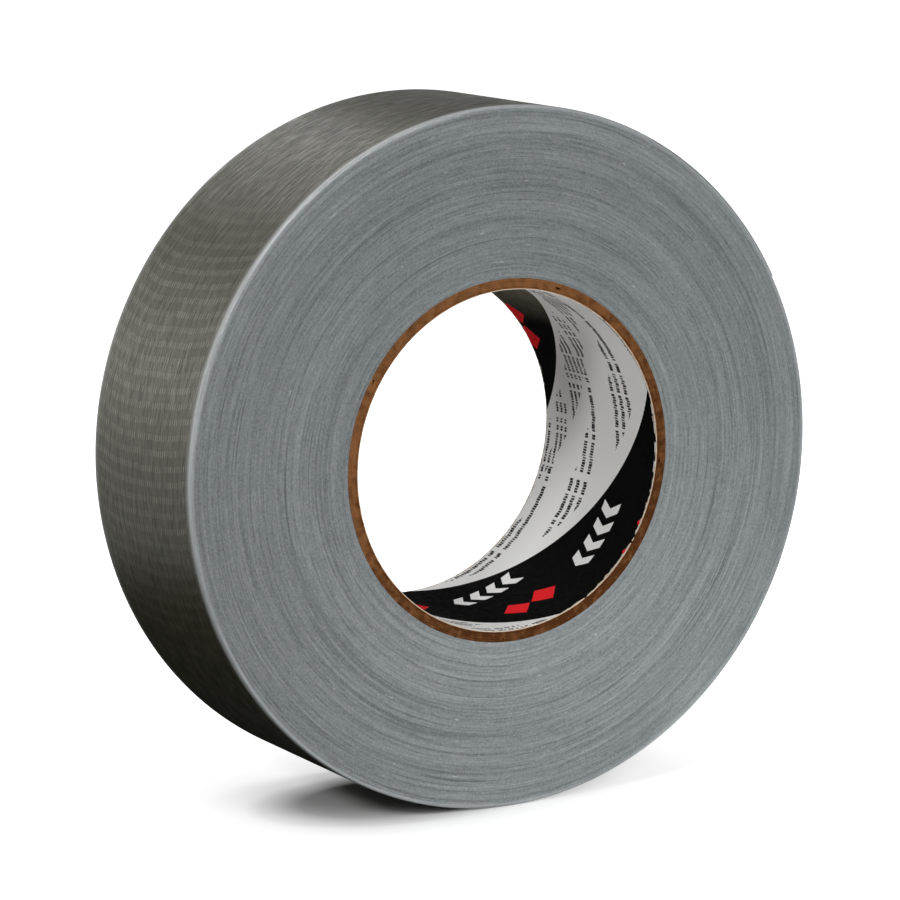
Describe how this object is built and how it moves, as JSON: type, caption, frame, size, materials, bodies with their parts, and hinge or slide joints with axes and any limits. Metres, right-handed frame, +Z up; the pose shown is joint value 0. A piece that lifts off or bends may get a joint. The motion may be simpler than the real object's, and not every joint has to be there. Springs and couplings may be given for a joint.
{
  "type": "duct tape roll",
  "caption": "Roll of grey cloth duct tape on a spiral paperboard core with a printed liner; the free end of the tape peels away from the roll.",
  "frame": {"origin": "centre of the core's bore, halfway along it", "axes": "+Y along the roll's axis from the front side face to the back one, +Z up with the roll standing on its tread, +X to the right seen from the front"},
  "size_m": [0.1564, 0.0482, 0.1566],
  "materials": {
    "tape_film": "satin",
    "tape_scrim": "matte",
    "tape_adhesive": "satin",
    "tape_edges": "satin",
    "core_board": "matte",
    "liner_paper": "satin"
  },
  "bodies": {
    "roll": {"core_liner": "liner_paper", "core_board_ply_1": "core_board", "core_board_ply_2": "core_board", "core_board_ply_3": "core_board", "core_board_ply_4": "core_board", "core_board_ply_5": "core_board", "first_turn_film": "tape_film", "first_turn_scrim": "tape_scrim", "first_turn_adhesive": "tape_adhesive", "wound_turns": "tape_edges", "last_turn_film": "tape_film", "last_turn_scrim": "tape_scrim", "last_turn_adhesive": "tape_adhesive"},
    "tail_root": {"tail_root_film": "tape_film", "tail_root_scrim": "tape_scrim", "tail_root_adhesive": "tape_adhesive"},
    "tail_middle": {"tail_middle_film": "tape_film", "tail_middle_scrim": "tape_scrim", "tail_middle_adhesive": "tape_adhesive"},
    "tail_tip": {"tail_tip_film": "tape_film", "tail_tip_scrim": "tape_scrim", "tail_tip_adhesive": "tape_adhesive"}
  },
  "joints": [
    {"name": "tail_peel", "type": "hinge", "parent": "roll", "child": "tail_root", "pos_m": [0.03816, 0, 0.06847], "axis": [0, -1, 0], "range_deg": [0, 30]},
    {"name": "tail_curl_middle", "type": "hinge", "parent": "tail_root", "child": "tail_middle", "pos_m": [0.05049, 0, 0.05997], "axis": [0, -1, 0], "range_deg": [0, 30]},
    {"name": "tail_curl_tip", "type": "hinge", "parent": "tail_middle", "child": "tail_tip", "pos_m": [0.06098, 0, 0.04928], "axis": [0, -1, 0], "range_deg": [0, 30]}
  ],
  "couplings": [
    {"joint": "tail_curl_middle", "follows": "tail_peel", "ratio": 1},
    {"joint": "tail_curl_tip", "follows": "tail_peel", "ratio": 1}
  ]
}
